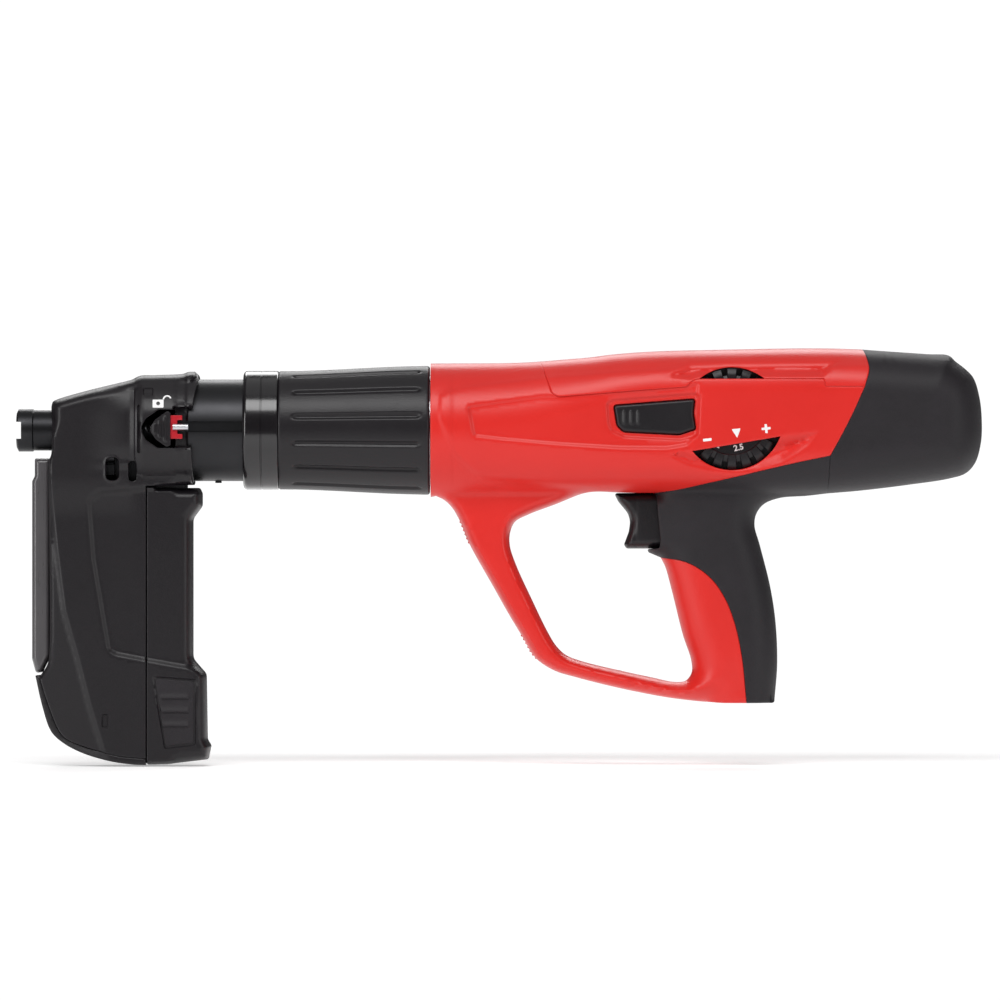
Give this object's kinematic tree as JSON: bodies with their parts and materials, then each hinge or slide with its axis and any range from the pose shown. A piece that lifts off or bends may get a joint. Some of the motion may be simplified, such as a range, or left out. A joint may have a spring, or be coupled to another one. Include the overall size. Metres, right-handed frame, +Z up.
{
  "type": "powder-actuated nail gun",
  "caption": "Powder-actuated nail gun: red and black housing with a looped hand guard, ribbed grip sleeve on the barrel and a nail magazine slid onto its muzzle.",
  "frame": {"origin": "centre of the muzzle bore at the floor of the muzzle notch", "axes": "+X to the rear along the barrel line, +Z up, -Y towards the side with the power wheel"},
  "size_m": [0.4763, 0.066, 0.2054],
  "materials": {
    "housing_red": "satin moulded plastic",
    "soft_black": "soft-touch rubber",
    "black_plastic": "fine-textured glass-filled plastic",
    "gloss_black": "glossy",
    "black_steel": "black oxide steel",
    "steel": "turned steel",
    "window_grey": "smoked plastic",
    "indicator_red": "bright"
  },
  "bodies": {
    "housing": {"housing_left": "housing_red", "housing_right": "housing_red", "top_cover": "housing_red", "rear_cap": "soft_black", "grip": "soft_black", "housing_screws": "black_steel", "bayonet_ring": "steel", "receiver_tube": "steel", "cartridge_guide": "steel", "breech_block": "steel", "firing_pin_tube": "steel", "wheel_bracket": "steel", "wheel_axle": "steel", "wheel_detent": "steel", "sear_pin": "steel", "feed_lever_pin": "steel", "contact_spring": "steel", "trigger_spring": "steel", "button_spring": "steel", "firing_pin_spring": "steel"},
    "return_unit": {"front_ring": "gloss_black", "ribbed_sleeve": "black_plastic", "return_tube": "steel"},
    "front_unit": {"guide_sleeve": "black_steel", "piston_guide": "steel", "buffer": "soft_black"},
    "piston": {"piston": "steel", "piston_rings": "steel"},
    "magazine": {"magazine_left": "black_plastic", "magazine_right": "black_plastic", "front_window": "window_grey", "base_guard": "black_plastic", "nosepiece": "black_steel", "nail_channel": "steel", "magazine_screws": "black_steel", "roller_pin": "steel", "roller_spring": "steel", "catch_spring": "steel"},
    "magazine_cover": {"magazine_cover": "black_plastic", "thumb_pads": "soft_black"},
    "follower": {"nail_follower": "steel"},
    "release_catch": {"release_catch": "black_plastic", "catch_indicator": "indicator_red", "lock_pin": "steel"},
    "trigger": {"trigger": "black_plastic", "trigger_bar": "steel"},
    "sear": {"sear": "steel"},
    "power_wheel": {"power_wheel": "black_plastic"},
    "release_button": {"release_button": "black_plastic"},
    "firing_pin": {"firing_pin": "steel"},
    "feed_lever": {"feed_lever": "steel"}
  },
  "joints": [
    {"name": "return_unit_turn", "type": "hinge", "parent": "housing", "child": "return_unit", "pos_m": [0.16, 0, 0], "axis": [1, 0, 0], "range_deg": [0, 90]},
    {"name": "contact_stroke", "type": "slide", "parent": "housing", "child": "front_unit", "axis": [1, 0, 0], "range_m": [0, 0.016], "stiffness_N_per_m": 3000, "springref_m": -0.01, "deforming": ["contact_spring"]},
    {"name": "piston_drive", "type": "slide", "parent": "front_unit", "child": "piston", "axis": [-1, 0, 0], "range_m": [0, 0.076]},
    {"name": "magazine_pull_off", "type": "slide", "parent": "front_unit", "child": "magazine", "axis": [-1, 0, 0], "range_m": [0, 0.045]},
    {"name": "cover_pull_down", "type": "slide", "parent": "magazine", "child": "magazine_cover", "axis": [0, 0, -1], "range_m": [0, 0.06]},
    {"name": "follower_slide", "type": "slide", "parent": "magazine", "child": "follower", "axis": [0, 0, -1], "range_m": [0, 0.1], "stiffness_N_per_m": 20, "springref_m": -0.05},
    {"name": "catch_slide", "type": "slide", "parent": "magazine", "child": "release_catch", "axis": [-1, 0, 0], "range_m": [0, 0.004], "stiffness_N_per_m": 600, "springref_m": -0.002, "deforming": ["catch_spring"]},
    {"name": "trigger_pull", "type": "slide", "parent": "housing", "child": "trigger", "axis": [1, 0, 0], "range_m": [0, 0.006], "stiffness_N_per_m": 1500, "springref_m": -0.003, "deforming": ["trigger_spring"]},
    {"name": "sear_tilt", "type": "hinge", "parent": "housing", "child": "sear", "pos_m": [0.3961, 0, -0.0175], "axis": [0, 1, 0], "range_deg": [0, 15]},
    {"name": "power_wheel_turn", "type": "hinge", "parent": "housing", "child": "power_wheel", "pos_m": [0.3498, -0.024, 0.0055], "axis": [0, 1, 0], "range_deg": [-60, 60]},
    {"name": "release_button_press", "type": "slide", "parent": "housing", "child": "release_button", "axis": [0, 1, 0], "range_m": [0, 0.002], "stiffness_N_per_m": 1200, "springref_m": -0.002, "deforming": ["button_spring"]},
    {"name": "firing_pin_slide", "type": "slide", "parent": "housing", "child": "firing_pin", "axis": [1, 0, 0], "range_m": [0, 0.008], "stiffness_N_per_m": 1000, "springref_m": -0.004, "deforming": ["firing_pin_spring"]},
    {"name": "feed_lever_tilt", "type": "hinge", "parent": "housing", "child": "feed_lever", "pos_m": [0.3328, 0, -0.0235], "axis": [0, 1, 0], "range_deg": [-20, 0]}
  ],
  "couplings": [
    {"joint": "sear_tilt", "follows": "trigger_pull", "rad_per_m": 43.6},
    {"joint": "feed_lever_tilt", "follows": "contact_stroke", "rad_per_m": -21.8}
  ]
}
